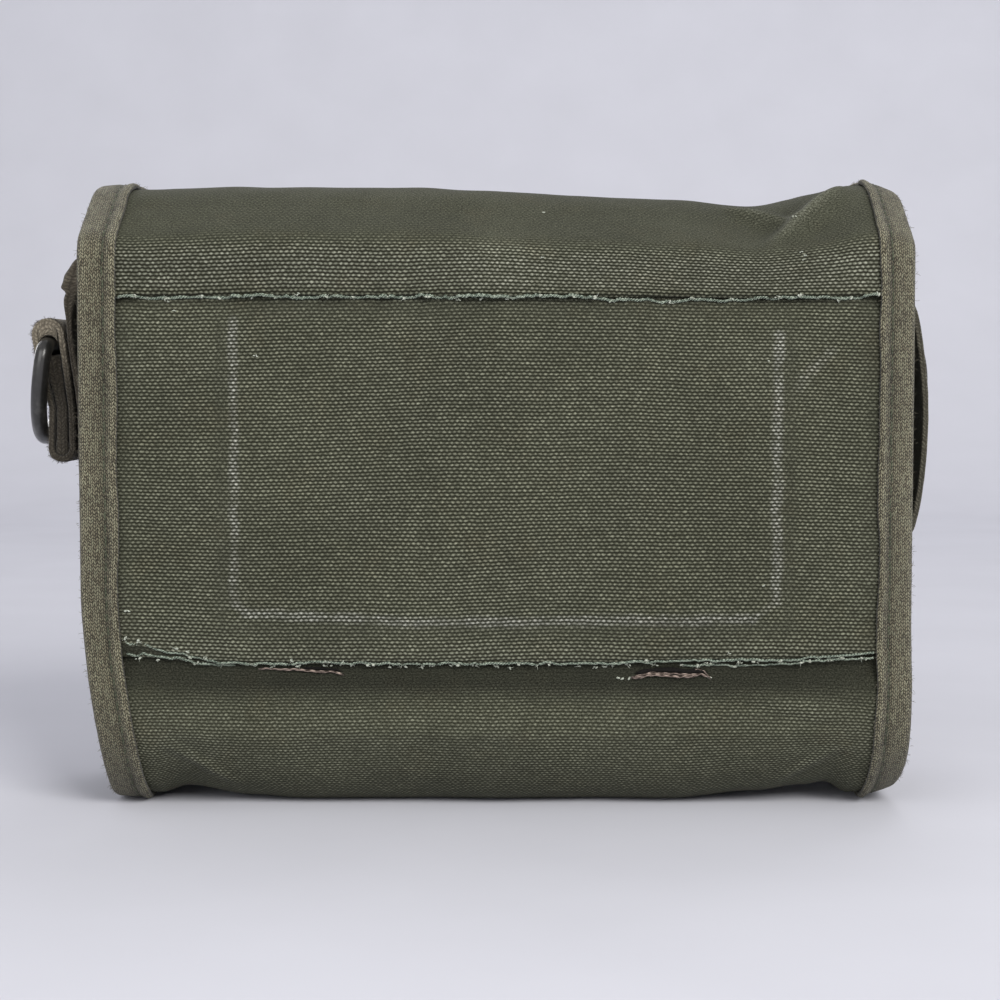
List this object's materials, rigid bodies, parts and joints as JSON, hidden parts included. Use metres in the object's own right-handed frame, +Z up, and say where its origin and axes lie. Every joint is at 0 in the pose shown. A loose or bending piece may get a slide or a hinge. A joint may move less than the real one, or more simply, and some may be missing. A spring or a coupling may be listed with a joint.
{
  "type": "canvas pouch",
  "caption": "Olive canvas belt pouch with bound edges, swelling side panels, a fold-over flap with a press snap, a webbing snap tab and a swinging carry ring.",
  "frame": {"origin": "on the flat underside of the base, under the middle of the body", "axes": "+Z up; the plain back faces -Y and the flap closes on the +Y side; the carry ring hangs on the -X side and the snap tab is on the +X side"},
  "size_m": [0.2365, 0.0799, 0.1628],
  "materials": {
    "canvas": "worn olive plain-weave cotton duck",
    "binding_tape": "fuzzy faded olive cotton tape",
    "webbing": "fuzzy brown-olive cotton webbing",
    "blackened_metal": "blackened steel, rubbed"
  },
  "bodies": {
    "pouch": {"front_panel": "canvas", "back_panel": "canvas", "flap": "canvas", "left_side_panel": "canvas", "right_side_panel": "canvas", "left_binding": "binding_tape", "right_binding": "binding_tape", "ring_strip": "webbing", "ring_loop": "webbing", "snap_tab": "webbing", "tab_snap": "blackened_metal", "flap_snap": "blackened_metal"},
    "ring": {"carry_ring": "blackened_metal"}
  },
  "joints": [
    {"name": "ring_swing", "type": "hinge", "parent": "pouch", "child": "ring", "pos_m": [-0.11718, -0.001, 0.1192], "axis": [0, 1, 0], "range_deg": [0, 158]}
  ]
}
